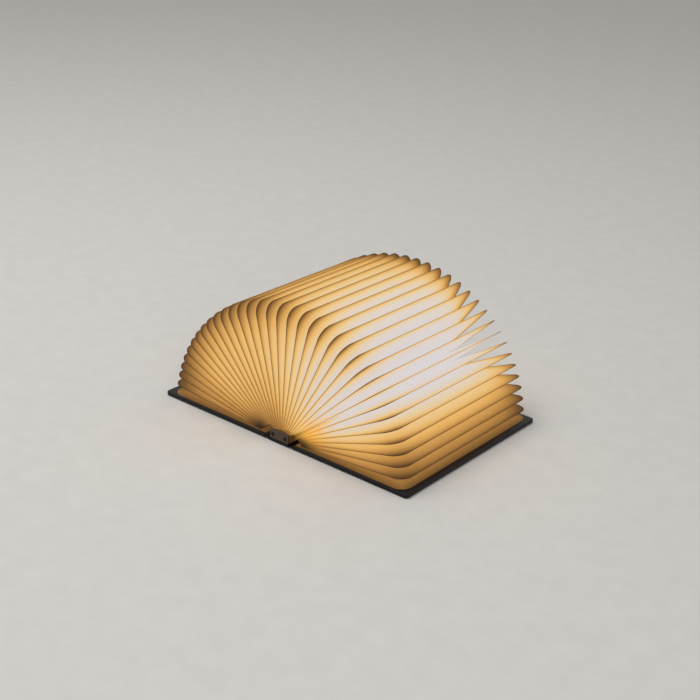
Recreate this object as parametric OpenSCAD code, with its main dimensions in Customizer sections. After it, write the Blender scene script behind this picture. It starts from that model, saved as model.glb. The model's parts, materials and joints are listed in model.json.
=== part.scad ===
// Folding book lamp: two hard covers that open flat, or right round until they meet back to back,
// with a fan of paper pockets between them and a light core along the spine.
// +X runs across the open covers, +Y along the spine towards the charging port, and +Z up.
// The origin is under the middle of the spine, on the surface that the open lamp lies on.

/* [Covers] */
// Length of the covers along the spine
cover_len = 170; // [140:1:220]
// Width of each cover, from the hinge groove to the fore-edge
cover_w = 106; // [80:1:140]
// Radius of the covers' outer corners
cover_corner_r = 3; // [1:0.5:8]
// Thickness of the grey board inside each cover
board_t = 2.4; // [1.5:0.1:4]
// Thickness of the black wrapping
wrap_t = 0.3; // [0.2:0.05:0.6]
// Width of the wrapping that is turned in over the board's edges
turn_in = 12; // [8:0.5:20]
// Thickness of the paper that lines each cover
endpaper_t = 0.2; // [0.1:0.05:0.4]
// Setback of the lining and the pages from the covers' near and far edges
page_margin = 2; // [1:0.5:5]
// Setback of the lining and the pages from the fore-edges, so that the shut covers hide the pages
fore_margin = 5; // [4.5:0.5:10]

/* [Hinges] */
// Distance of each cover's hinge axis from the middle of the spine
hinge_x = 12.2; // [12:0.1:20]
// Width of board that the groove leaves free on each side of the hinge axis
groove_half = 2.8; // [2.6:0.1:5]

/* [Pages] */
// Thickness of the paper
paper_t = 0.25; // [0.15:0.05:0.35]
// Radius of the pages' outer corners
page_corner_r = 10; // [4:0.5:20]
// Width of the glued seam round each pocket
seam_w = 2; // [1:0.25:4]
// Angle of the first page above its cover when the lamp lies open
fan_start = 4.25; // [2:0.25:8]
// How much the pages crowd towards the covers and away from the middle
fan_ease = 2.3; // [0:0.1:4]
// How far the middle of the fan leans towards the left cover
fan_lean = 1.9; // [0:0.1:4]
// Distance from a page's root to the mouth of its pocket
mouth_r = 10.5; // [10:0.25:16]
// Height of the pages' roots over the covers' lining
root_rise = 0.2; // [0.1:0.1:1]
// Gap between neighbouring pockets at the spine
pocket_gap = 0.3; // [0.1:0.05:0.6]
// Depth behind the seam at which a pocket meets its neighbours
swell = 34; // [20:1:50]

/* [Light core] */
// Width of the tray that runs along the spine
tray_w = 18; // [16:0.5:19]
// Height of the tray
tray_h = 6.3; // [5.8:0.1:7]
// Thickness of the tray's walls
tray_wall = 1.2; // [0.8:0.1:1.4]
// Rise of the milky lens over the tray
lens_rise = 1.6; // [0.8:0.1:2]
// Height of the lens's straight edge
lens_edge = 0.4; // [0.2:0.1:0.7]
// Thickness of the lens
lens_t = 1; // [0.6:0.1:1.2]
// Thickness of each end cap
cap_t = 2; // [1.5:0.25:3]
// Number of light-emitting diodes
led_count = 16; // [8:1:20]
// Length of the rechargeable cell
cell_len = 62; // [40:1:80]
// Thickness of the rechargeable cell
cell_t = 2.4; // [2:0.1:2.6]

/* [Small parts] */
// Radius of the discs that hold the covers together
magnet_r = 4; // [2:0.5:5]
// Thickness of those discs
magnet_t = 1.5; // [0.8:0.1:1.5]
// Radius of the cap screws
screw_r = 0.9; // [0.6:0.05:1]
// Length of the cap screws
screw_len = 7; // [5:0.5:10]

/* [Hidden] */
$fn = 48;
PAGE_COUNT = 34;
pages = [for (i = [1:PAGE_COUNT]) str("page_", i < 10 ? "0" : "", i)];
core_nodes = ["spine_board", "spine_wrap", "right_hinge_strip", "left_hinge_strip", "core_tray",
    "core_lens", "led_strip", "leds", "cell", "cell_tape", "charge_board", "charge_port",
    "charge_light", "magnet_sensor", "near_cap", "far_cap", "cap_screws"];
cover_nodes = ["right_board", "right_wrap", "right_endpaper", "right_magnets",
    "left_board", "left_wrap", "left_endpaper", "left_magnets"];

// Levels of a cover, from the surface up
cover_t = board_t + 2 * wrap_t;
lining_z = cover_t + endpaper_t;
board_z = wrap_t;

// Places across a cover
cover_x0 = hinge_x + groove_half;
cover_x1 = cover_x0 + cover_w;
hinge_z = cover_t / 2;

// Spine
spine_half = hinge_x - groove_half - wrap_t;

// Discs in the covers' corners
magnet_edge = 3;
magnet_x = cover_x1 - magnet_r - magnet_edge;
magnet_y = cover_len / 2 - turn_in - magnet_r - 2;

// Light core, standing on the spine board
tray_z = board_z + board_t;
tray_top = tray_z + tray_h;
tray_floor = tray_z + tray_wall;
tray_in = tray_w / 2 - tray_wall;
core_top = tray_top + lens_rise;
dome = lens_rise - lens_edge;
dome_r = (pow(tray_w / 2, 2) + pow(dome, 2)) / (2 * dome);
core_half = cover_len / 2;
tray_half = core_half - cap_t;
rail_t = 0.8;
rail_w = 1.2;
strip_t = 0.8;
strip_drop = 1.8;
strip_z = tray_top - strip_drop;
strip_half = tray_in - 0.3;
strip_inset = 7;
strip_len = 2 * (tray_half - strip_inset);
led_size = [2.8, 3.5, 0.7];
tape_t = 0.2;
cell_w = 2 * (tray_in - rail_w) - 0.4;
charge_t = 0.8;
charge_w = 8;
charge_len = 24;
port = [7.4, 5.2, 2.5];
port_wall = 0.35;
port_recess = 0.3;
port_y1 = core_half - port_recess;
port_z = tray_floor + charge_t;
light_r = 0.9;
light_z = strip_z + light_r + 0.1;
boss_r = 1.9;
screw_x = tray_in - boss_r + 0.2;
light_offset = 1.7;
light_x = screw_x - light_offset;
screw_z = tray_floor + boss_r;
fit_gap = 0.05;
tongue = [3.8, 4, 0.5];
led_cup_r = 1.1;
light_len = 5;
sensor_size = [3, 4, 1.4];
sensor_inset = 3;
cell_tab_len = 2.5;

// Pages
page_len = cover_len - 2 * page_margin;
root_z = lining_z + root_rise;
root_lift = root_z - hinge_z;
root_half = hinge_x - root_lift - 0.3;
page_w = cover_x1 - fore_margin - root_half;
root_pitch = 2 * root_half / (PAGE_COUNT - 1);

// Share of the way round the fan, 0 at the first page and 1 at the last
function share(i) = i / (PAGE_COUNT - 1);
// Direction of page i, in degrees from the right cover
function fan_angle(i) = fan_start + (180 - 2 * fan_start) * share(i)
    - fan_ease * sin(360 * share(i)) + fan_lean * sin(180 * share(i));
// Place of page i's root across the spine
function root_x(i) = root_half - root_pitch * i;

// Half of the free width between page i and its neighbour on one side (1 is towards the left cover)
function half_room(i, side, r) =
    let (j = i + side, inside = j >= 0 && j < PAGE_COUNT,
        turn = inside ? abs(fan_angle(j) - fan_angle(i)) : 2 * fan_start)
    r * tan(turn / 2) + root_pitch / 2 * sin(fan_angle(i));

// Fullness of a pocket at a depth behind its seam: 0 at the seam and 1 where it is fully open
function fullness(depth) = let (t = min(1, max(0, depth) / swell)) t * t * (3 - 2 * t);

// Half thickness of the air in a pocket at radius r and at depth d behind its near or far edge,
// kept clear of the neighbour's paper
function air(i, side, r, d) =
    max(0.05, (half_room(i, side, r) - paper_t - pocket_gap / 2)
        * fullness(page_w - seam_w - r) * fullness(d - seam_w));

// How far the rounded corner draws an edge in at radius r
function corner_draw(r, w, c) =
    r <= w - c ? 0 : c - sqrt(max(0, c * c - pow(r - (w - c), 2)));

// Depths behind each edge at which a pocket's outline has points
page_depths = [0, 0.25, 0.6, 1];

ring_points = 2 * (2 * len(page_depths) - 1);

// One ring across a pocket: its points run along one side of the page and back along the other
function ring(i, r, inset, skin) =
    let (draw = inset + corner_draw(r, page_w - inset, page_corner_r - inset),
        y0 = -page_len / 2 + draw, half = page_len / 2 - draw,
        reach = min(swell + seam_w, half),
        ys = concat([for (s = page_depths) y0 + s * reach],
            [for (k = [len(page_depths) - 2:-1:0]) -y0 - page_depths[k] * reach]))
    concat([for (y = ys) [r, y, skin + air(i, 1, r, page_len / 2 - abs(y))]],
        [for (k = [len(ys) - 1:-1:0])
            [r, ys[k], -skin - air(i, -1, r, page_len / 2 - abs(ys[k]))]]);

// Radii of the rings, from the mouth to the fore-edge, for an outline set in by inset
function ring_radii(inset) =
    let (w = page_w - inset, c = page_corner_r - inset, flat = w - c,
        full = page_w - seam_w - swell, slope = flat - full)
    [mouth_r, full, full + slope / 3, full + 2 * slope / 3,
        flat, flat + c * sin(40), flat + c * sin(68), w];

// A point of page i's own frame, set into the lamp's frame
function placed(i, p) =
    let (a = fan_angle(i))
    [root_x(i) + p[0] * cos(a) - p[2] * sin(a), p[1], root_z + p[0] * sin(a) + p[2] * cos(a)];

// Faces between two rings of n points, the first ring starting at point a and the second at b
function band(a, b, n) =
    [for (k = [0:n - 1]) let (m = (k + 1) % n) each [[a + k, b + k, b + m], [a + k, b + m, a + m]]];
// Faces that close a ring that starts at point a
function lid(a, n) =
    [for (k = [0:n / 2 - 2]) each [[a + k, a + n - 1 - k, a + k + 1],
        [a + k + 1, a + n - 1 - k, a + n - 2 - k]]];
function turned(faces) = [for (f = faces) [f[2], f[1], f[0]]];

// A plate with two rounded corners at its outer end
module fore_plate(x0, x1, len, r, t) {
    linear_extrude(t) union() {
        translate([x0, -len / 2]) square([x1 - x0 - r, len]);
        translate([x0, -len / 2 + r]) square([x1 - x0, len - 2 * r]);
        for (side = [-1, 1]) translate([x1 - r, side * (len / 2 - r)]) circle(r);
    }
}

// The lens's outline from its lower edge up, seen from the core's end
module lens_outline() {
    intersection() {
        translate([0, core_top - dome_r]) circle(dome_r, $fn = 120);
        translate([-tray_w / 2, tray_top]) square([tray_w, 2 * lens_rise]);
    }
    translate([-tray_w / 2, tray_top]) square([tray_w, lens_edge]);
}

// The outline of the whole light core
module core_outline() {
    translate([-tray_w / 2, tray_z]) square([tray_w, tray_h]);
    lens_outline();
}

// Something drawn in the plane of the core's end, run along the spine from y0 to y1
module along_spine(y0, y1) {
    translate([0, y1, 0]) rotate([90, 0, 0]) linear_extrude(y1 - y0) children();
}

module board() {
    color("tan") difference() {
        translate([0, 0, board_z])
            fore_plate(cover_x0, cover_x1 - wrap_t, cover_len - 2 * wrap_t,
                cover_corner_r - wrap_t, board_t);
        magnet_places() cylinder(r = magnet_r + fit_gap, h = magnet_t + 1);
    }
}

// The places of the discs in a cover, with their lower faces at the given height
module magnet_places() {
    z = board_z + board_t - magnet_t;
    for (side = [-1, 1])
        translate([magnet_x, side * magnet_y, z]) children();
}

module magnets() {
    color("silver") magnet_places() cylinder(r = magnet_r, h = magnet_t);
}

module wrap() {
    inner = cover_x1 - wrap_t;
    color("#1b1a1c") difference() {
        fore_plate(cover_x0, cover_x1, cover_len, cover_corner_r, cover_t);
        translate([0, 0, board_z])
            fore_plate(cover_x0 - 1, inner, cover_len - 2 * wrap_t, cover_corner_r - wrap_t, board_t);
        translate([cover_x0 - 1, -cover_len / 2 + turn_in, board_z])
            cube([cover_w - turn_in + 1, cover_len - 2 * turn_in, cover_t]);
    }
}

module endpaper() {
    color("wheat") union() {
        translate([cover_x0, -cover_len / 2 + turn_in, board_z + board_t])
            cube([cover_w - turn_in, cover_len - 2 * turn_in, wrap_t]);
        translate([0, 0, cover_t])
            fore_plate(cover_x0, cover_x1 - fore_margin, page_len, page_corner_r, endpaper_t);
    }
}

module spine_board() {
    color("tan") translate([-spine_half, -core_half + wrap_t, board_z])
        cube([2 * spine_half, cover_len - 2 * wrap_t, board_t]);
}

module spine_wrap() {
    color("#1b1a1c") difference() {
        translate([-spine_half - wrap_t, -core_half, 0])
            cube([2 * (spine_half + wrap_t), cover_len, board_z + board_t]);
        translate([-spine_half, -core_half + wrap_t, board_z])
            cube([2 * spine_half, cover_len - 2 * wrap_t, board_t + 1]);
    }
}

// The wrapping is pressed up into the groove beside the spine, as far as the hinge axis
module hinge_strip() {
    x0 = spine_half + wrap_t;
    steps = 12;
    rise = hinge_z - wrap_t / 2;
    under = [for (k = [0:steps]) [x0 + (cover_x0 - x0) * k / steps,
        rise * (1 - cos(360 * k / steps)) / 2]];
    over = [for (k = [steps:-1:0]) under[k] + [0, wrap_t]];
    color("#1b1a1c") along_spine(-core_half, core_half) polygon(concat(under, over));
}

module core_tray() {
    color("#3a2c22") difference() {
        union() {
            along_spine(-tray_half, tray_half) union() {
                difference() {
                    translate([-tray_w / 2, tray_z]) square([tray_w, tray_h]);
                    translate([-tray_in, tray_floor]) square([2 * tray_in, tray_h]);
                }
                for (side = [0, 1]) mirror([side, 0])
                    translate([tray_in - rail_w, strip_z - rail_t]) square([rail_w + 0.1, rail_t]);
            }
            for (end = [0, 1], side = [-1, 1]) mirror([0, end, 0])
                translate([side * screw_x, tray_half, screw_z]) rotate([90, 0, 0])
                    cylinder(r = boss_r, h = screw_len);
        }
        for (end = [0, 1], side = [-1, 1]) mirror([0, end, 0])
            translate([side * screw_x, tray_half + 1, screw_z]) rotate([90, 0, 0])
                cylinder(r = screw_r, h = screw_len + 1);
        along_spine(port_y1 - port[1] - fit_gap, core_half) port_outline(fit_gap);
    }
}

module core_lens() {
    leg_t = 0.8;
    leg_x = tray_in - leg_t - fit_gap;
    leg_z = strip_z + strip_t;
    color("white") along_spine(-tray_half, tray_half) union() {
        difference() {
            lens_outline();
            translate([0, core_top - dome_r]) circle(dome_r - lens_t, $fn = 120);
        }
        for (x = [-leg_x - leg_t, leg_x])
            translate([x, leg_z]) square([leg_t, tray_top - leg_z + lens_edge / 2]);
    }
}

module led_strip() {
    color("ivory") translate([-strip_half, -strip_len / 2, strip_z])
        cube([2 * strip_half, strip_len, strip_t]);
}

module leds() {
    pitch = strip_len / led_count;
    color("khaki") for (k = [0:led_count - 1])
        translate([0, (k + 0.5) * pitch - strip_len / 2, strip_z + strip_t]) difference() {
            translate([-led_size[0] / 2, -led_size[1] / 2, 0]) cube(led_size);
            translate([0, 0, led_size[2] / 2]) cylinder(r = led_cup_r, h = led_size[2]);
        }
}

module cell_tape() {
    color("gray") translate([-cell_w / 2 + 1, -cell_len / 2 + 3, tray_floor])
        cube([cell_w - 2, cell_len - 6, tape_t]);
}

module cell() {
    r = cell_t / 2;
    z = tray_floor + tape_t + r;
    color("silver") union() {
        along_spine(-cell_len / 2, cell_len / 2) union() {
            translate([-cell_w / 2 + r, z - r]) square([cell_w - 2 * r, cell_t]);
            for (side = [-1, 1]) translate([side * (cell_w / 2 - r), z]) circle(r);
        }
        translate([-cell_w / 2 + r, cell_len / 2 - 0.1, z - r / 2]) cube([cell_w - 2 * r, cell_tab_len, r]);
    }
}

module charge_board() {
    color("seagreen") translate([-charge_w / 2, tray_half - charge_len, tray_floor])
        cube([charge_w, charge_len, charge_t]);
}

// The port's outline, grown by some amount
module port_outline(grow) {
    r = 1.1 + grow;
    w = port[0] / 2 + grow - r;
    translate([-w, port_z - grow]) square([2 * w, port[2] + 2 * grow]);
    for (side = [-1, 1], z = [port_z - grow + r, port_z + port[2] + grow - r])
        translate([side * w, z]) circle(r);
    translate([-w - r, port_z - grow + r]) square([2 * (w + r), port[2] + 2 * grow - 2 * r]);
}

module charge_port() {
    color("silver") union() {
        difference() {
            along_spine(port_y1 - port[1], port_y1) port_outline(0);
            along_spine(port_y1 - port[1] + port_wall, port_y1 + 1) port_outline(-port_wall);
        }
        translate([-tongue[0] / 2, port_y1 - port[1], port_z + port[2] / 2]) cube(tongue);
    }
}

module charge_light() {
    color("ivory") translate([light_x, core_half - 0.2, light_z]) rotate([90, 0, 0])
        cylinder(r = light_r, h = light_len);
}

module magnet_sensor() {
    color("#222222") translate([-sensor_size[0] / 2, tray_half - charge_len + sensor_inset, port_z])
        cube(sensor_size);
}

module screw_holes() {
    for (side = [-1, 1]) translate([side * screw_x, 0, screw_z]) rotate([90, 0, 0]) {
        translate([0, 0, -core_half - 1]) cylinder(r = screw_r + fit_gap, h = cover_len + 2);
        translate([0, 0, -core_half - 0.01])
            cylinder(r1 = 2 * screw_r + fit_gap, r2 = screw_r + fit_gap, h = screw_r + 0.01);
    }
}

module near_cap() {
    color("#3a2c22") mirror([0, 1, 0]) difference() {
        along_spine(tray_half, core_half) core_outline();
        screw_holes();
    }
}

module far_cap() {
    color("#3a2c22") difference() {
        along_spine(tray_half, core_half) core_outline();
        screw_holes();
        along_spine(tray_half - 1, core_half + 1) port_outline(fit_gap);
        translate([light_x, core_half + 1, light_z]) rotate([90, 0, 0])
            cylinder(r = light_r + fit_gap, h = cap_t + 2);
    }
}

module cap_screws() {
    slot_w = 0.4;
    color("silver") for (end = [0, 1], side = [-1, 1]) mirror([0, end, 0])
        translate([side * screw_x, core_half, screw_z]) rotate([90, 0, 0]) difference() {
            union() {
                cylinder(r1 = 2 * screw_r, r2 = screw_r, h = screw_r);
                cylinder(r = screw_r, h = screw_len + cap_t - 1);
            }
            for (turn = [0, 90]) rotate([0, 0, turn])
                translate([-screw_r, -slot_w / 2, -1]) cube([2 * screw_r, slot_w, 1.4]);
        }
}

// A pocket of two sheets, seamed round three sides and open along the spine
module page(i) {
    outer = ring_radii(0);
    inner = ring_radii(seam_w);
    outer_rings = [for (r = outer) each [for (p = ring(i, r, 0, paper_t)) placed(i, p)]];
    inner_rings = [for (r = inner) each [for (p = ring(i, r, seam_w, 0)) placed(i, p)]];
    n = ring_points;
    first = len(outer) * n;
    faces = concat(
        [for (k = [0:len(outer) - 2]) each turned(band(k * n, (k + 1) * n, n))],
        [for (k = [0:len(inner) - 2]) each band(first + k * n, first + (k + 1) * n, n)],
        turned(lid((len(outer) - 1) * n, n)), lid(first + (len(inner) - 1) * n, n),
        band(0, first, n));
    color("moccasin") polyhedron(concat(outer_rings, inner_rings), faces);
}

spine_board();
spine_wrap();
hinge_strip();  // right_hinge_strip
mirror([1, 0, 0]) hinge_strip();  // left_hinge_strip
core_tray();
core_lens();
led_strip();
leds();
cell();
cell_tape();
charge_board();
charge_port();
charge_light();
magnet_sensor();
near_cap();
far_cap();
cap_screws();
board();  // right_board
wrap();  // right_wrap
endpaper();  // right_endpaper
magnets();  // right_magnets
mirror([1, 0, 0]) board();  // left_board
mirror([1, 0, 0]) wrap();  // left_wrap
mirror([1, 0, 0]) endpaper();  // left_endpaper
mirror([1, 0, 0]) magnets();  // left_magnets
for (i = [0:PAGE_COUNT - 1]) page(i);
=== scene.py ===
# %% [markdown]
# # A folding book lamp
# The lamp is a book without words. Two hard covers open on a fan of paper pockets, and a row of
# light-emitting diodes in the spine fills the pockets with warm light. This lesson dresses the
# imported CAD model: the frame gives the places and the joints, and each cell below makes one piece
# or one finish. All lengths are in millimetres until a piece is made, and in metres after that.

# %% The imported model
import math

import bmesh
import bpy
import numpy as np
from mathutils import Matrix, Vector
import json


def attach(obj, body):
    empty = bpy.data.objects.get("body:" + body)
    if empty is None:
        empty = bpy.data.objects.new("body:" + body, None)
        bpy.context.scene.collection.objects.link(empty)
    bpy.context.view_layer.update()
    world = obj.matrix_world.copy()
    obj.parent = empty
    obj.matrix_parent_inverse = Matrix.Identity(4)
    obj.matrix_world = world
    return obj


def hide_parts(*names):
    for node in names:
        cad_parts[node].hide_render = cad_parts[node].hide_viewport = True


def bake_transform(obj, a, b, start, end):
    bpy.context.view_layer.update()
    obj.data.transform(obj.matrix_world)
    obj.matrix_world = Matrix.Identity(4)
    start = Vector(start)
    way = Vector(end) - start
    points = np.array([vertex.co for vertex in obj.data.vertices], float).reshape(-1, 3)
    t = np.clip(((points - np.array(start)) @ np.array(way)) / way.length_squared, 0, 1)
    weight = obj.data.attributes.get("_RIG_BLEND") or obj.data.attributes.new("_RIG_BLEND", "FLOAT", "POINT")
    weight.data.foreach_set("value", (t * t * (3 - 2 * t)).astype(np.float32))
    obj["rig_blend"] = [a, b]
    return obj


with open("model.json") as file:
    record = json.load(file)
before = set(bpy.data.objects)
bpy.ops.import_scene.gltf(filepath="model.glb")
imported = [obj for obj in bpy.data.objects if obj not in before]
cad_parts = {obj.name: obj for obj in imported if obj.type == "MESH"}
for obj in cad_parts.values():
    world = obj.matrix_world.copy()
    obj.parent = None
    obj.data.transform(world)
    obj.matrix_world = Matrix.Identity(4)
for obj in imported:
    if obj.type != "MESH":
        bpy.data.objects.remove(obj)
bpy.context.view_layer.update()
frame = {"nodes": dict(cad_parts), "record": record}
nodes = frame["nodes"]

# %% [markdown]
# ## Camera
# A camera is a place, a direction, a tilt and a focal length. The lamp is seen from the right and
# from above, at a little over a metre, and the camera is tilted by a few degrees. The three axes
# of the camera are built by hand, because a tilt is then one turn of two of them.

# %% Camera
MM = 0.001
SENSOR_MM, IMAGE_PX = 36, 700


def place_camera(azimuth, elevation, tilt, distance, target, focal_px):
    """Sets a camera that looks at target from a direction in degrees."""
    az, el, roll = (math.radians(a) for a in (azimuth, elevation, tilt))
    back = Vector((math.sin(az) * math.cos(el), -math.cos(az) * math.cos(el), math.sin(el)))
    across = (-back).cross(Vector((0, 0, 1))).normalized()
    above = across.cross(-back)
    right = math.cos(roll) * across + math.sin(roll) * above
    up = -math.sin(roll) * across + math.cos(roll) * above
    turn = Matrix((right, up, back)).transposed().to_4x4()
    data = bpy.data.cameras.new("camera")
    data.sensor_width = SENSOR_MM
    data.lens = focal_px / IMAGE_PX * SENSOR_MM
    camera = bpy.data.objects.new("camera", data)
    camera.matrix_world = Matrix.Translation(Vector(target) + back * distance) @ turn
    bpy.context.scene.collection.objects.link(camera)
    bpy.context.scene.camera = camera
    return camera


camera = place_camera(azimuth=37.55, elevation=23.84, tilt=3.19, distance=1.0922,
                      target=(-0.00388, 0.0020, 0.04892), focal_px=1384.5)
print("lens:", round(camera.data.lens, 1), "mm")

# %% [markdown]
# ## One way to add a node
# A material is a small chain of nodes. One helper makes a node, sets it up and joins it to the
# others: a socket is given a number, a colour or another node's output. Colours are written as
# the hex values that a painter or a web page would use, and one function turns them to linear.

# %% Helpers for materials
def linear(hex_colour):
    """A hex colour such as #A1B2C3 as linear red, green, blue and alpha."""
    parts = [int(hex_colour[k : k + 2], 16) / 255 for k in (1, 3, 5)]
    return [p / 12.92 if p <= 0.04045 else ((p + 0.055) / 1.055) ** 2.4 for p in parts] + [1.0]


def add(tree, kind, inputs=None, stops=None, **settings):
    """Adds a node. inputs are numbers, colours or other nodes' outputs, and stops fill a ramp."""
    made = tree.nodes.new("ShaderNode" + kind)
    for name, value in settings.items():
        setattr(made, name, value)
    for place, colour in enumerate(stops or []):
        ramp = made.color_ramp.elements
        stop = ramp[place] if place < len(ramp) else ramp.new(colour[0])
        stop.position, stop.color = colour[0], linear(colour[1])
    for name, value in (inputs or {}).items():
        socket = made.inputs[name]
        if isinstance(value, bpy.types.NodeSocket):
            tree.links.new(value, socket)
        else:
            socket.default_value = value
    return made


def blank(name):
    """A new material with nothing in it."""
    made = bpy.data.materials.new(name)
    made.use_nodes = True
    made.node_tree.nodes.clear()
    return made, made.node_tree


def finish_with(tree, shader):
    """Joins a shader to the material's output."""
    tree.links.new(shader.outputs[0], add(tree, "OutputMaterial").inputs["Surface"])


def per_mm(size):
    """The scale of a pattern whose marks are size millimetres apart."""
    return 1 / (size * MM)


print("hex #808080 is", round(linear("#808080")[0], 3), "in linear light")

# %% [markdown]
# ## Paper with light behind it
# The pockets are of a thin cream fibre paper. With the lamp lit, a sheet is almost white where
# it is well clear of the glue, golden where less light reaches it, and brown along the seams and
# in the corners, where four layers of paper meet. Real light inside 34 pockets would be slow and
# noisy, so each point of a pocket stores how much light reaches it, as an attribute called
# glow, and the material turns that into the colour that the paper then has. A second attribute,
# amber, marks the paper where painted amber light from the lens shines through it. The paper
# reflects half of its colour, and it also gives the colour off, at about two thirds of full strength.
#
# The fibres are drawn from the sheet's own UV map, in metres, so that they stay on the paper when
# a pocket folds. Real fibres are 0.03 mm thick, which is too fine to show, so they are drawn
# 0.5 mm thick and 4 mm long. Soft clouds a few millimetres across stand for the uneven pulp.

# %% Paper
FIBRE_MM, FIBRE_STRETCH, FIBRE_RISE_MM = 0.5, 0.12, 0.1
CLOUD_MM, MOTTLE = 6.0, 0.04
REFLECTED, GIVEN_OFF = 0.5, 0.64
# The colour of the painted amber light from the lens, where it shines through the paper.
AMBER_LIGHT = "#F4BC3E"
LIT = [(0.0, "#33231A"), (0.15, "#7D5A30"), (0.35, "#BE904E"), (0.55, "#E4BA70"),
       (0.75, "#E8CE9C"), (0.86, "#DFD2C0"), (1.0, "#D9D6DA")]


def lit_paper(name):
    """Fibre paper whose colour follows the attributes glow and amber."""
    made, tree = blank(name)
    sheet = add(tree, "UVMap", uv_map="sheet")
    along = add(tree, "Mapping", {"Vector": sheet.outputs["UV"], "Scale": (1, FIBRE_STRETCH, 1)})
    fibres = add(tree, "TexNoise", {"Vector": along.outputs[0], "Scale": per_mm(FIBRE_MM),
                                    "Detail": 3.0, "Roughness": 0.7})
    clouds = add(tree, "TexNoise", {"Vector": sheet.outputs["UV"], "Scale": per_mm(CLOUD_MM),
                                    "Detail": 2.0})
    mottle = add(tree, "Math", {0: fibres.outputs["Fac"], 1: clouds.outputs["Fac"]},
                 operation="ADD")
    mottle = add(tree, "Math", {0: mottle.outputs[0], 1: MOTTLE, 2: -MOTTLE},
                 operation="MULTIPLY_ADD")
    glow = add(tree, "Attribute", attribute_name="glow")
    reached = add(tree, "Math", {0: glow.outputs["Fac"], 1: mottle.outputs[0]}, operation="ADD",
                  use_clamp=True)
    faded = add(tree, "ValToRGB", {"Fac": reached.outputs[0]}, stops=LIT)
    # The amber attribute is painted amber light from the lens, mixed over the paper's colour.
    amber = add(tree, "Attribute", attribute_name="amber")
    seen = add(tree, "MixRGB", {"Fac": amber.outputs["Fac"], "Color1": faded.outputs["Color"],
                                "Color2": linear(AMBER_LIGHT)})
    own = add(tree, "VectorMath", {0: seen.outputs["Color"], "Scale": REFLECTED},
              operation="SCALE")
    bump = add(tree, "Bump", {"Height": fibres.outputs["Fac"], "Strength": 0.12,
                              "Distance": FIBRE_RISE_MM * MM})
    shader = add(tree, "BsdfPrincipled", {
        "Base Color": own.outputs[0], "Roughness": 0.85, "Specular IOR Level": 0.15,
        "Emission Color": seen.outputs["Color"], "Emission Strength": GIVEN_OFF,
        "Normal": bump.outputs["Normal"]})
    finish_with(tree, shader)
    return made


pocket_paper = lit_paper("cream_fibre_paper_lit")
print("paper:", pocket_paper.name)

# %% [markdown]
# ## Leather-grained wrapping
# The covers are grey board wrapped in a black coated paper that is embossed like leather. The
# emboss is small pebbles about 1 mm across with soft creases between them, drawn a little darker
# as painted shade. A Voronoi pattern gives the pebbles, and noise bends it so that no two are
# alike. The coating is satin, and a slow noise makes it a little smoother where hands have rubbed it.

# %% Wrapping
PEBBLE_MM, CREASE_SHARE, EMBOSS_MM = 1.3, 0.22, 0.15
BEND_MM, BEND_BY_MM = 3.0, 0.8
WEAR_MM, SMOOTHEST, ROUGHEST = 25.0, 0.42, 0.58


def grained_wrap(name, colour, crease):
    """Coated paper embossed with pebbles."""
    made, tree = blank(name)
    place = add(tree, "TexCoord")
    bent = add(tree, "TexNoise", {"Vector": place.outputs["Object"], "Scale": per_mm(BEND_MM)})
    shift = add(tree, "VectorMath", {0: bent.outputs["Color"], 1: (BEND_BY_MM * MM,) * 3},
                operation="MULTIPLY")
    there = add(tree, "VectorMath", {0: place.outputs["Object"], 1: shift.outputs[0]},
                operation="ADD")
    pebbles = add(tree, "TexVoronoi", {"Vector": there.outputs[0], "Scale": per_mm(PEBBLE_MM)},
                  feature="DISTANCE_TO_EDGE")
    height = add(tree, "MapRange", {"Value": pebbles.outputs["Distance"],
                                    "From Max": CREASE_SHARE})
    wear = add(tree, "TexNoise", {"Vector": place.outputs["Object"], "Scale": per_mm(WEAR_MM),
                                  "Detail": 4.0})
    # The creases get the darker colour, a painted shade in the folds of the emboss.
    tone = add(tree, "ValToRGB", {"Fac": height.outputs[0]}, stops=[(0.0, crease), (0.7, colour)])
    rough = add(tree, "MapRange", {"Value": wear.outputs["Fac"], "To Min": SMOOTHEST,
                                   "To Max": ROUGHEST})
    bump = add(tree, "Bump", {"Height": height.outputs[0], "Strength": 0.5,
                              "Distance": EMBOSS_MM * MM})
    shader = add(tree, "BsdfPrincipled", {
        "Base Color": tone.outputs["Color"], "Roughness": rough.outputs[0],
        "Specular IOR Level": 0.2, "Normal": bump.outputs["Normal"]})
    finish_with(tree, shader)
    return made


# The second colour is the painted shade in the creases between the pebbles.
wrapping = grained_wrap("leather_grained_coated_paper", "#161517", "#0C0B0D")
print("wrapping:", wrapping.name)

# %% [markdown]
# ## Plain finishes for the small parts
# The housing is moulded ABS with a fine spark-eroded texture, and the lens over the diodes is
# amber polycarbonate. Inside are lacquered circuit boards, a foil pouch cell, steel and nickel.
# They differ only in colour, gloss and the grain of their surface, so one function makes them.
#
# Light comes through the lens, and some of it through the tray's thin walls. Both get darker
# towards the core's two ends: fade_mm says how far from the middle of the spine that begins and
# where it is done.

# %% Small parts' finishes
GRAIN_RISE_MM, ROUGH_SPREAD, FAINTEST = 0.05, 0.08, 0.03


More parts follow.
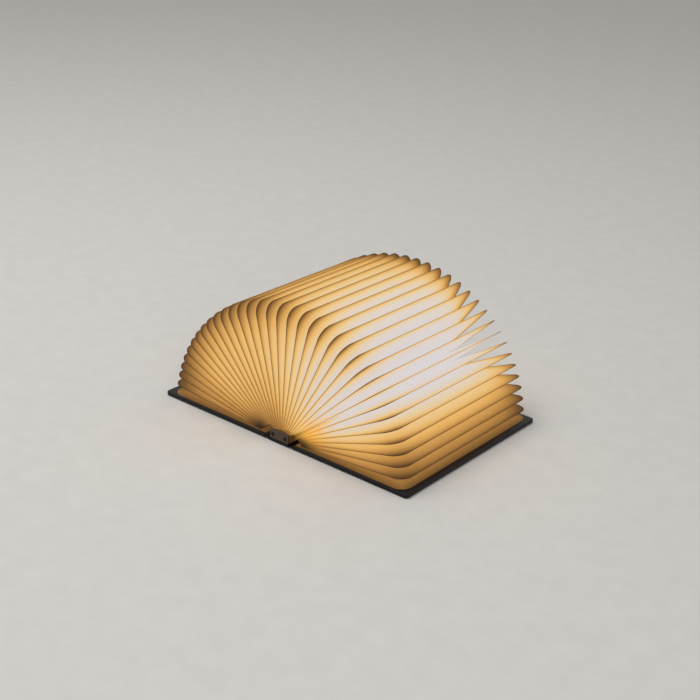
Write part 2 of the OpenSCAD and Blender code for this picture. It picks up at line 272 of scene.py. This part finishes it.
def moulded(name, colour, darker, roughness, grain_mm, depth=0.3, metallic=0.0, light=None,
            strength=0.0, fade_mm=None):
    """A surface with a fine irregular grain, such as moulded plastic, foil or plated metal."""
    made, tree = blank(name)
    place = add(tree, "TexCoord")
    grain = add(tree, "TexNoise", {"Vector": place.outputs["Object"], "Scale": per_mm(grain_mm),
                                   "Detail": 4.0, "Roughness": 0.6})
    tone = add(tree, "ValToRGB", {"Fac": grain.outputs["Fac"]},
               stops=[(0.35, darker), (0.65, colour)])
    rough = add(tree, "MapRange", {"Value": grain.outputs["Fac"],
                                   "To Min": roughness - ROUGH_SPREAD,
                                   "To Max": roughness + ROUGH_SPREAD})
    bump = add(tree, "Bump", {"Height": grain.outputs["Fac"], "Strength": depth,
                              "Distance": GRAIN_RISE_MM * MM})
    sockets = {"Base Color": tone.outputs["Color"], "Roughness": rough.outputs[0],
               "Metallic": metallic, "Normal": bump.outputs["Normal"]}
    if fade_mm:
        split = add(tree, "SeparateXYZ", {0: place.outputs["Object"]})
        along = add(tree, "Math", {0: split.outputs["Y"]}, operation="ABSOLUTE")
        strength = add(tree, "MapRange", {
            "Value": along.outputs[0], "From Min": fade_mm[0] * MM, "From Max": fade_mm[1] * MM,
            "To Min": strength, "To Max": FAINTEST}).outputs[0]
    if light:
        sockets.update({"Emission Color": linear(light), "Emission Strength": strength})
    finish_with(tree, add(tree, "BsdfPrincipled", sockets))
    return made


finishes = {
    "greyboard": moulded("pressed_grey_board", "#8C8375", "#6E665B", 0.9, 1.2, 0.5),
    "core_housing": moulded("moulded_abs_brown", "#4B3A2B", "#3C2D20", 0.5, 0.5),
    "diffuser": moulded("amber_polycarbonate_lit", "#8A6638", "#7C5A30", 0.35, 1.5, 0.1,
                        light="#F0A838", strength=0.6, fade_mm=(70, 84)),
    "circuit_strip": moulded("white_solder_mask", "#DAD6CB", "#CFCABD", 0.4, 0.8),
    "leds": moulded("yellow_phosphor_resin", "#E3C25A", "#D4B04A", 0.3, 0.4, light="#FFD890",
                    strength=0.8),
    "cell_foil": moulded("aluminium_laminate_foil", "#B9BBBE", "#A6A8AB", 0.32, 2.0, 0.4, 1.0),
    "foam_tape": moulded("closed_cell_foam_tape", "#4B4B4C", "#3B3B3C", 0.95, 0.3, 0.6),
    "circuit_board": moulded("green_solder_mask", "#1F5D3A", "#19502F", 0.35, 0.8),
    "port_steel": moulded("nickel_plated_steel", "#B4B5B8", "#A3A4A7", 0.28, 0.6, 0.2, 1.0),
    "light_pipe": moulded("clear_acrylic", "#DDDDD8", "#D2D2CC", 0.15, 1.0, 0.05),
    "sensor": moulded("moulded_epoxy_black", "#1C1C1D", "#151516", 0.45, 0.3),
    "screw_steel": moulded("black_oxide_steel", "#3C3835", "#2E2B29", 0.4, 0.3, 0.2, 1.0),
    "magnets": moulded("nickel_plated_magnet", "#B8B7B3", "#A9A8A4", 0.25, 0.5, 0.1, 1.0),
    "cover_wrap": wrapping,
}
lit_walls = moulded("moulded_abs_lit_from_inside", "#5A412A", "#4A3522", 0.5, 0.5,
                    light="#F0B040", strength=0.75, fade_mm=(64, 78))
slots = {row["node"]: row["material_slot"] for row in frame["record"]["subparts"]}
for name, node in nodes.items():
    look = lit_walls if name == "core_tray" else finishes.get(slots[name])
    if look:
        node.data.materials.clear()
        node.data.materials.append(look)
print("finishes:", len(finishes))

# %% [markdown]
# ## The fan's measures
# The pockets, like the CAD pages, stand on roots across the spine, and their angles follow one
# smooth rule: even steps, crowded a little towards the covers and leaning a little to the left.
# The roots stand ROOT_LIFT above the covers' hinges. Each page turns about an axis of its own,
# which lies a little below and outside its root, the more so the lower the page is.

# %% The fan's measures
PAGES = 34
PAGE_W, PAGE_LEN, CORNER_R = 106.0, 166.0, 10.0
ROOT_HALF, ROOT_Z, ROOT_LIFT = 10.0, 3.4, 1.9
MOUTH_R, SEAM_W, SWELL = 10.5, 2.0, 34.0
PAPER_T, POCKET_GAP = 0.25, 0.3
FAN_START, FAN_EASE, FAN_LEAN = 4.25, 2.3, 1.9
ROOT_PITCH = 2 * ROOT_HALF / (PAGES - 1)


def fan_angle(i):
    """Direction of page i in degrees from the right cover."""
    share = i / (PAGES - 1)
    return (FAN_START + (180 - 2 * FAN_START) * share
            - FAN_EASE * math.sin(2 * math.pi * share) + FAN_LEAN * math.sin(math.pi * share))


def root_x(i):
    """Where page i stands across the spine."""
    return ROOT_HALF - ROOT_PITCH * i


def limit_angle(i, side):
    """Direction of the plane that pocket i shares with its neighbour, or with a cover. It is
    halfway between the two pages, but upright between the two halves of the fan, so that either
    half can fold up alone."""
    if {i, i + side} == {PAGES // 2 - 1, PAGES // 2}:
        return 90.0
    if not 0 <= i + side < PAGES:
        return 180.0 if i else 0.0
    return (fan_angle(i) + fan_angle(i + side)) / 2


def half_room(i, side, r):
    """The free width beside page i, on its side towards page i + side."""
    turn = abs(limit_angle(i, side) - fan_angle(i))
    return (r * math.tan(math.radians(turn))
            + ROOT_PITCH / 2 * math.sin(math.radians(fan_angle(i))))


def from_edge(r, y):
    """Distance of a point of the page from its outline, which has two rounded corners."""
    out_r, out_y = r - (PAGE_W - CORNER_R), abs(y) - (PAGE_LEN / 2 - CORNER_R)
    if out_r > 0 and out_y > 0:
        return CORNER_R - math.hypot(out_r, out_y)
    return min(PAGE_W - r, PAGE_LEN / 2 - abs(y))


print("angles:", [round(fan_angle(i)) for i in range(PAGES)])

# %% [markdown]
# ## How the light fades
# The light comes from the spine. The glued seams hold it back, so it rises from a brown line at
# the very edge, quickly at first and then slowly. It does so from the fore-edge and from the two
# ends, and the product of the two is darkest in the corners. The upright pages are the brightest,
# and towards their far ends they turn golden. Less light goes to the lowest pages, and least of
# all to their roots, which are in the shade of the core's near end cap. A little way out from the
# strip, low on the right, painted amber light from the lens shines through the paper.
#
# Each effect has a loss, the share of the light that it takes away, and a fade, the length over
# which it dies away. The three steps say between which angles the pages get brighter or darker,
# when the fan is read from the right cover to the left one.

# %% How the light fades
SEAM_LOSS, SEAM_FADE = 0.25, 0.7
QUICK_LOSS, QUICK_FADE = 0.5, 2.4
SLOW_LOSS, SLOW_FADE = 0.1, 12.0
NEAR_CORNER_LOSS, FAR_CORNER_LOSS, DIM_CORNER_LOSS, CORNER_FADE = 0.9, 0.5, 0.35, 15.0
TIP_LOSS, TIP_FADE = 0.36, 14.0
FAR_LOSS, FAR_FADE = 0.42, 11.0
ROOT_LOSS, ROOT_FADE = 0.8, 6.0
HEART_LOSS, HEART_FADE = 0.2, 18.0
CAP_LOSS, CAP_FADE = 0.8, 11.0
AMBER_MOST, AMBER_R, AMBER_WIDTH, AMBER_ANGLE, AMBER_SPREAD = 0.8, 21.0, 8, 32, 18
BRIGHT_ANGLE, BRIGHT_SPREAD, LOW_UNTIL = 48, 45, 45
LOWEST_LEVEL, LEFT_LOSS, LAST_LOSS = 0.48, 0.19, 0.32
FIRST_STEP, LEFT_STEP, LAST_STEP = (2, 32), (62, 120), (150, 178)


def ease(t):
    """A smooth step from 0 to 1."""
    t = min(1.0, max(0.0, t))
    return t * t * (3 - 2 * t)


def rise(depth):
    """How the light builds up behind an edge."""
    return (1 - QUICK_LOSS * math.exp(-depth / QUICK_FADE)
            - SLOW_LOSS * math.exp(-depth / SLOW_FADE))


def page_level(i):
    """The light in the middle of page i."""
    first, left, last = (ease((fan_angle(i) - start) / (end - start))
                         for start, end in (FIRST_STEP, LEFT_STEP, LAST_STEP))
    return LOWEST_LEVEL + (1 - LOWEST_LEVEL) * first - LEFT_LOSS * left - LAST_LOSS * last


def lowness(i):
    """How low page i lies, from 0 for the upright pages towards 1 for the ones by the covers."""
    return 1 - ease(min(fan_angle(i), 180 - fan_angle(i)) / LOW_UNTIL)


def beside_cap(i, r, y):
    """The shade of the core's near end cap on the low pages beside it."""
    if y > 0:
        return 1.0
    past_mouth, past_end = max(0.0, r - MOUTH_R) / CAP_FADE, (PAGE_LEN / 2 + y) / CAP_FADE
    return 1 - CAP_LOSS * math.sqrt(lowness(i)) * math.exp(-past_mouth**2 - past_end)


def glow_at(i, r, y):
    """How much light reaches a point of pocket i, from 0 to 1."""
    end, fore, past_mouth = PAGE_LEN / 2 - abs(y), PAGE_W - r, r - MOUTH_R
    low, dim = lowness(i), min(1.0, abs(fan_angle(i) - BRIGHT_ANGLE) / BRIGHT_SPREAD)
    seam = 1 - SEAM_LOSS * (1 + dim) * math.exp(-from_edge(r, y) / SEAM_FADE)
    past_arc = max(0.0, end + fore - CORNER_R * (2 - math.sqrt(2)))
    corner_loss = NEAR_CORNER_LOSS if y < 0 else FAR_CORNER_LOSS + DIM_CORNER_LOSS * dim
    corner = 1 - corner_loss * math.exp(-past_arc / CORNER_FADE)
    tip = 1 - TIP_LOSS * low * math.exp(-fore / TIP_FADE)
    far = 1 - FAR_LOSS * (1 - low) * math.exp(-((end / FAR_FADE) ** 2)) if y > 0 else 1.0
    root = (1 - ROOT_LOSS * low * math.exp(-past_mouth / ROOT_FADE)
            - HEART_LOSS * math.exp(-past_mouth / HEART_FADE))
    light = seam * corner * root * tip * far * rise(end) * rise(fore) * page_level(i)
    return light * beside_cap(i, r, y)


def amber_light_at(i, r, y):
    """How much painted amber light from the lens reaches a point, most of all low on the right."""
    outwards = (r - AMBER_R) / AMBER_WIDTH
    across = (fan_angle(i) - AMBER_ANGLE) / AMBER_SPREAD
    return AMBER_MOST * math.exp(-(outwards**2) - across**2) * beside_cap(i, r, y) ** 2


print("light in the pages:", [round(page_level(i), 2) for i in range(PAGES)])

# %% [markdown]
# ## Where a pocket begins
# A pocket is open along the spine, and it begins where it clears the light core. The upright
# pockets can begin closer to the core than the others, so that nobody sees between them into it.
# How close is found by trying the way that each of them goes as the covers turn.

# %% Where a pocket begins
CORE_HALF, CORE_TOP, LENS_CURVE, CORE_GAP = 9.0, 10.6, 69, 0.5
BACK_STOP, TRIES = 95.5, 12
FIRST_MOUTH, MOUTH_STEP, UPRIGHT_WITHIN = 7.5, 0.25, 40


def in_core(x, z):
    """Whether a point lies in the light core, or closer to it than the gap."""
    lens_top = CORE_TOP - x**2 / LENS_CURVE
    return abs(x) < CORE_HALF + CORE_GAP and z < lens_top + CORE_GAP


def mouth(i):
    """Where pocket i can start, so that it clears the light core however far it turns."""
    rest, x, start = fan_angle(i), root_x(i), FIRST_MOUTH
    if abs(90 - rest) > UPRIGHT_WITHIN:
        return MOUTH_R
    back = 90 + (rest - 90) * (1 + BACK_STOP / 90)
    turns = [math.radians(back + (90 - back) * k / TRIES) for k in range(TRIES + 1)]
    while start < MOUTH_R and any(
            in_core(x + start * math.cos(a), ROOT_Z + start * math.sin(a)) for a in turns):
        start += MOUTH_STEP
    return start


print("mouths:", [mouth(i) for i in range(PAGES)])

# %% [markdown]
# ## How a pocket swells and folds
# Each page is a pocket of two sheets. They are glued round three sides, and behind the seam they
# swell apart with the springiness of the paper, until they all but meet the next pocket.
#
# A pocket folds flat when the book shuts and opens wider when the covers go right back. So each
# sheet turns with its page, and a little less or more for the part of the fan that it fills. That
# difference is kept as a share of the page's own turn. A share can be below 0 or above 1, because
# the outer sheet of a pocket turns more than its page does.

# %% How a pocket swells and folds
EDGE_ROUND, ON_EDGE = 0.35, 1e-6
FLAT_HALF = PAPER_T + 0.02


def sheet_lift(i, side, r, y):
    """How far the sheet on one side stands off the page's plane."""
    to_edge = from_edge(r, y)
    if to_edge <= ON_EDGE:
        return 0.0
    fore = ease((PAGE_W - SEAM_W - r) / SWELL)
    end = ease((PAGE_LEN / 2 - SEAM_W - abs(y)) / SWELL)
    air = (half_room(i, side, r) - PAPER_T - POCKET_GAP / 2) * fore * end
    return min(1.0, to_edge / EDGE_ROUND) * PAPER_T + air


def turn_share(i, r, n):
    """How much less of its page's turn a point makes, as a share, so that the pocket folds flat.
    r and n are its place along the page and off it. root_across and root_up lead from the page's
    own axis to its root, and in the shut book the point lies within FLAT_HALF of the page."""
    angle = math.radians(fan_angle(i))
    root_across, root_up = -ROOT_LIFT * math.cos(angle), ROOT_LIFT * (1 - math.sin(angle))
    root_along = root_across * math.cos(angle) + root_up * math.sin(angle)
    root_over = -root_across * math.sin(angle) + root_up * math.cos(angle)
    along, over = root_along + r, root_over + n
    flat_over = root_over + max(-FLAT_HALF, min(FLAT_HALF, n))
    spare = math.atan2(over, along) - math.asin(flat_over / math.hypot(along, over))
    return spare / (math.pi / 2 - angle)


middle_swell = [sheet_lift(PAGES // 2, side, PAGE_W / 2, 0) for side in (-1, 1)]
print("the middle pocket is", round(sum(middle_swell), 2), "mm thick halfway out")

# %% [markdown]
# ## From a grid to a piece
# A grid of a few hundred faces is one sheet: its rows are set at the radii where the shape
# changes, and its columns at depths behind the two ends. The same grid serves the pockets and the
# covers' linings, and the helpers that put a finished mesh into the scene serve every piece.

# %% From a grid to a piece
CORNER = [CORNER_R * math.sin(math.radians(a)) for a in (0, 14, 28, 42, 56, 70, 81, 90)]
DEPTHS = [0, 0.35, 1.1, 2.0, 4, 6.5, 9.5, 13, 17, 21, 25, 30, 37, 50, 83]
COLUMNS = [-PAGE_LEN / 2 + d for d in DEPTHS] + [PAGE_LEN / 2 - d for d in DEPTHS[-2::-1]]


def sheet_grid(inner_rows, flat_to):
    """A flat sheet on a grid of rows and columns. Its corners beyond flat_to are rounded."""
    rows = inner_rows + [flat_to + c for c in CORNER]
    bm = bmesh.new()
    bmesh.ops.create_grid(bm, x_segments=len(rows) - 1, y_segments=len(COLUMNS) - 1, size=1)
    place = bm.loops.layers.uv.new("sheet")
    for v in bm.verts:
        r = rows[round((v.co.x + 1) / 2 * (len(rows) - 1))]
        y = COLUMNS[round((v.co.y + 1) / 2 * (len(COLUMNS) - 1))]
        if r > flat_to:
            drawn_in = CORNER_R - math.sqrt(max(0.0, CORNER_R**2 - (r - flat_to) ** 2))
            y *= 1 - drawn_in / (PAGE_LEN / 2)
        v.co = (r, y, 0)
    for face in bm.faces:
        for loop in face.loops:
            loop[place].uv = (loop.vert.co.x * MM, loop.vert.co.y * MM)
    return bm


def to_metres(bm):
    """Scales a mesh that was made in millimetres."""
    bmesh.ops.scale(bm, verts=bm.verts[:], vec=(MM, MM, MM))
    return bm


def into_scene(bm, name, look):
    """Puts a finished mesh into the scene as an object at the origin."""
    mesh = bpy.data.meshes.new(name)
    bm.to_mesh(mesh)
    bm.free()
    mesh.materials.append(look)
    made = bpy.data.objects.new(name, mesh)
    bpy.context.scene.collection.objects.link(made)
    return made


def smooth(piece, sharp_over):
    """Smooth shading, with a crease where two faces meet at more than an angle."""
    piece.data.polygons.foreach_set("use_smooth", [True] * len(piece.data.polygons))
    piece.data.set_sharp_from_angle(angle=math.radians(sharp_over))


def apply_modifiers(piece):
    """Turns what the modifiers make into the piece's own mesh."""
    seen = piece.evaluated_get(bpy.context.evaluated_depsgraph_get())
    mesh = bpy.data.meshes.new_from_object(seen)
    piece.modifiers.clear()
    piece.data = mesh


print("columns in a sheet:", len(COLUMNS))

# %% [markdown]
# ## Paper pockets
# The upper sheet of a pocket is a grid, a copy turned over is the lower one, and the two are
# welded round the outline. Solidify then gives the paper its thickness, a little less than the
# room that it has at the seam, so that the two sheets don't touch there.
#
# The shares that it sets run straight across a piece, and a wedge needs shares that go with the
# angle, so the cell writes its own shares into the attribute that the call made.

# %% Paper pockets
RADII = [12.5, 15, 20, 28, 38, 50, 60, 68, 75, 81, 86, 90, 93.5]
WALL_T, WELD = 0.8 * PAPER_T, 1e-4


def make_pocket(i):
    """The two sheets of pocket i, welded round their outline and turned into place."""
    angle = math.radians(fan_angle(i))
    bm = sheet_grid([mouth(i)] + RADII, PAGE_W - CORNER_R)
    for name in ("glow", "amber", "share"):
        bm.verts.layers.float.new(name)
    glow, amber, share = (bm.verts.layers.float[name] for name in ("glow", "amber", "share"))
    twin = bmesh.ops.duplicate(bm, geom=bm.verts[:] + bm.edges[:] + bm.faces[:])["geom"]
    under = {v for v in twin if isinstance(v, bmesh.types.BMVert)}
    bmesh.ops.reverse_faces(bm, faces=[f for f in twin if isinstance(f, bmesh.types.BMFace)])
    for v in bm.verts:
        side = -1 if v in under else 1
        v[glow] = glow_at(i, v.co.x, v.co.y)
        # Painted amber light from the lens, stored at each point.
        v[amber] = amber_light_at(i, v.co.x, v.co.y)
        v.co.z = side * sheet_lift(i, side, v.co.x, v.co.y)
    rim = [v for v in bm.verts if abs(v.co.z) < ON_EDGE]
    bmesh.ops.remove_doubles(bm, verts=rim, dist=WELD)
    bmesh.ops.recalc_face_normals(bm, faces=bm.faces[:])
    for v in bm.verts:
        r, n = v.co.x, v.co.z
        v[share] = turn_share(i, r, n)
        v.co = (root_x(i) + r * math.cos(angle) - n * math.sin(angle), v.co.y,
                ROOT_Z + r * math.sin(angle) + n * math.cos(angle))
    return to_metres(bm)


for i in range(PAGES):
    number = f"{i + 1:02d}"
    pocket = into_scene(make_pocket(i), f"paper_pocket_{number}", pocket_paper)
    wall = pocket.modifiers.new("paper", "SOLIDIFY")
    wall.thickness, wall.offset = WALL_T * MM, -1
    apply_modifiers(pocket)
    smooth(pocket, sharp_over=35)
    root = Vector((root_x(i), 0, ROOT_Z)) * MM
    up = Vector((0, 0, ROOT_Z + PAGE_W)) * MM
    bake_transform(pocket, f"leaf_{number}", "core", start=root, end=up)
    shares = np.zeros(len(pocket.data.vertices), np.float32)
    pocket.data.attributes["share"].data.foreach_get("value", shares)
    pocket.data.attributes["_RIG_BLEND"].data.foreach_set("value", shares)
    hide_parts(f"page_{number}")
print("pockets:", PAGES, "with", len(pocket.data.polygons), "faces each")

# %% [markdown]
# ## Wrapped covers
# A hard cover is a board with the wrapping glued round it, so its edges are slightly rounded and
# its outer corners are soft. A cube set to size with two bevels is the plain way to say that: a
# wide one on the two outer corners and a small one round all the edges, except at the groove.
# Each piece of a cover is made for the right side, and the left one is its mirror image.

# %% Wrapped covers
COVER_X0, COVER_X1, COVER_LEN, COVER_T = 15.0, 121.0, 170.0, 3.0
COVER_CORNER_R, COVER_EDGE_R, NEARBY = 3.0, 0.7, 0.1
SIDES = (("right", 1), ("left", -1))


def box_mesh(low, high):
    """A block between two corners, in millimetres."""
    bm = bmesh.new()
    bmesh.ops.create_cube(bm, size=1)
    middle = [(a + b) / 2 for a, b in zip(low, high)]
    bmesh.ops.scale(bm, verts=bm.verts[:], vec=[b - a for a, b in zip(low, high)])
    bmesh.ops.translate(bm, verts=bm.verts[:], vec=middle)
    return bm


def round_edges(bm, edges, radius, segments):
    """Rounds edges to a radius."""
    bmesh.ops.bevel(bm, geom=edges, offset=radius, offset_type="OFFSET", affect="EDGES",
                    segments=segments, profile=0.5, material=-1)


def on_side(bm, sign):
    """Mirrors a piece if it is for the left side, and turns its faces outwards."""
    bmesh.ops.scale(bm, verts=bm.verts[:], vec=(sign, 1, 1))
    bmesh.ops.recalc_face_normals(bm, faces=bm.faces[:])
    return bm


def make_cover():
    """The right cover in its wrapping."""
    bm = box_mesh((COVER_X0, -COVER_LEN / 2, 0), (COVER_X1, COVER_LEN / 2, COVER_T))
    corners = [e for e in bm.edges
               if all(v.co.x > COVER_X1 - NEARBY for v in e.verts)
               and abs(e.verts[0].co.z - e.verts[1].co.z) > NEARBY]
    round_edges(bm, corners, COVER_CORNER_R, segments=8)
    rims = [e for e in bm.edges if e.calc_face_angle(0) > math.radians(60)
            and not all(v.co.x < COVER_X0 + NEARBY for v in e.verts)]
    round_edges(bm, rims, COVER_EDGE_R, segments=3)
    return to_metres(bm)


for side, sign in SIDES:
    cover = into_scene(on_side(make_cover(), sign), f"{side}_cover_wrapping", wrapping)
    smooth(cover, sharp_over=50)
    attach(cover, f"{side}_cover")
    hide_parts(f"{side}_wrap")
print("covers:", len(cover.data.polygons), "faces each")

# %% [markdown]
# ## Grooves
# Between the spine and each cover the wrapping has no board behind it, so it can fold. It is
# pressed up into the groove with a bone folder. A grid is bent into that wave, and it blends from
# the spine to the cover when the cover turns.

# %% Grooves
SPINE_EDGE, HINGE_Z, WRAP_T = 9.4, 1.5, 0.3


def make_groove():
    """The wrapping in the right groove."""
    bm = bmesh.new()
    bmesh.ops.create_grid(bm, x_segments=16, y_segments=24, size=1)
    for v in bm.verts:
        across = (v.co.x + 1) / 2
        height = (HINGE_Z - WRAP_T / 2) * (1 - math.cos(2 * math.pi * across)) / 2
        v.co = (SPINE_EDGE + (COVER_X0 - SPINE_EDGE) * across, v.co.y * COVER_LEN / 2, height)
    bmesh.ops.solidify(bm, geom=bm.faces[:], thickness=-WRAP_T)
    return to_metres(bm)


for side, sign in SIDES:
    groove = into_scene(on_side(make_groove(), sign), f"{side}_groove_wrapping", wrapping)
    smooth(groove, sharp_over=50)
    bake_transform(groove, "core", f"{side}_cover", start=(sign * SPINE_EDGE * MM, 0, HINGE_Z * MM),
             end=(sign * COVER_X0 * MM, 0, HINGE_Z * MM))
    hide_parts(f"{side}_hinge_strip")
print("grooves:", len(groove.data.polygons), "faces each")

# %% [markdown]
# ## Lining paper
# The inside of each cover is lined with the same cream paper as the pockets. It lies in the shade
# of the lowest page, so only a little light reaches it, and less towards its edges and the spine.

# %% Lining paper
LINING_X1, LINING_T = COVER_X1 - 5.0, 0.2
LINING_RADII = [COVER_X0, 25, 38, 52, 66, 80, 92, 100]
LINING_DARK, LINING_LIGHT, LINING_FADE, SPINE_SHADE = 0.12, 0.3, 12.0, 22


def make_lining():
    """The lining of the right cover."""
    bm = sheet_grid(LINING_RADII, LINING_X1 - CORNER_R)
    glow = bm.verts.layers.float.new("glow")
    for v in bm.verts:
        edge = min(LINING_X1 - v.co.x, PAGE_LEN / 2 - abs(v.co.y))
        clear_of_spine = ease((v.co.x - COVER_X0) / SPINE_SHADE)
        v[glow] = LINING_DARK + LINING_LIGHT * (1 - math.exp(-edge / LINING_FADE)) * clear_of_spine
        v.co.z = COVER_T + LINING_T
    bmesh.ops.solidify(bm, geom=bm.faces[:], thickness=LINING_T)
    return to_metres(bm)


for side, sign in SIDES:
    lining = into_scene(on_side(make_lining(), sign), f"{side}_lining_paper", pocket_paper)
    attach(lining, f"{side}_cover")
    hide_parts(f"{side}_endpaper")
print("linings:", len(lining.data.polygons), "faces each")

# %% [markdown]
# ## Floor and light
# The lamp lies on a plain pale floor. A wide soft lamp over it, a second one from the side and a
# pale sky light it evenly, at a level where a colour shows about as it is written. The sky is
# brighter where it is seen or mirrored than where it only gives light, so that it doesn't flatten
# the shadows.

# %% Floor and light
FLOOR_HALF, FLOOR_DROP, FLOOR_CLOUD_MM = 6, 0.0005, 50 / 3
SKY, SKY_SEEN, SKY_LIGHT = "#E6E4E0", 1.0, 0.55


def floor_finish():
    """A pale floor with a faint cloudy tone."""
    made, tree = blank("pale_floor")
    place = add(tree, "TexCoord")
    cloud = add(tree, "TexNoise", {"Vector": place.outputs["Object"],
                                   "Scale": per_mm(FLOOR_CLOUD_MM)})
    tone = add(tree, "ValToRGB", {"Fac": cloud.outputs["Fac"]},
               stops=[(0.3, "#C9C7C4"), (0.7, "#CDCBC8")])
    finish_with(tree, add(tree, "BsdfPrincipled", {"Base Color": tone.outputs["Color"],
                                                   "Roughness": 0.9}))
    return made


def soft_lamp(name, place, target, size, power):
    """A round area light that shines from one place towards another."""
    data = bpy.data.lights.new(name, "AREA")
    data.shape, data.size, data.energy = "DISK", size, power
    made = bpy.data.objects.new(name, data)
    made.location = place
    made.rotation_euler = (Vector(target) - Vector(place)).to_track_quat("-Z", "Y").to_euler()
    bpy.context.scene.collection.objects.link(made)


def pale_sky():
    """An even sky with one level for the light that it gives and one for how it is seen."""
    world = bpy.context.scene.world or bpy.data.worlds.new("sky")
    bpy.context.scene.world = world
    world.use_nodes = True
    tree = world.node_tree
    tree.nodes.clear()
    ray = add(tree, "LightPath").outputs
    direct = add(tree, "Math", {0: ray["Is Camera Ray"], 1: ray["Is Glossy Ray"]},
                 operation="MAXIMUM")
    direct = add(tree, "Math", {0: direct.outputs[0], 1: ray["Is Transmission Ray"]},
                 operation="MAXIMUM")
    level = add(tree, "MapRange", {"Value": direct.outputs[0], "To Min": SKY_LIGHT,
                                   "To Max": SKY_SEEN})
    dome = add(tree, "Background", {"Color": linear(SKY), "Strength": level.outputs[0]})
    tree.links.new(dome.outputs[0], add(tree, "OutputWorld").inputs["Surface"])


bm = bmesh.new()
bmesh.ops.create_grid(bm, x_segments=1, y_segments=1, size=FLOOR_HALF)
bmesh.ops.translate(bm, verts=bm.verts[:], vec=(0, 0, -FLOOR_DROP))
floor = into_scene(bm, "floor", floor_finish())
soft_lamp("overhead", place=(-0.5, -0.3, 1.6), target=(0, 0, 0.03), size=1.2, power=16)
soft_lamp("side", place=(1.3, -1.2, 0.9), target=(0, 0, 0.05), size=1.0, power=8)
pale_sky()
bpy.context.scene.view_settings.view_transform = "Standard"

# %% [markdown]
# ## A last import

# %% A last import
import json
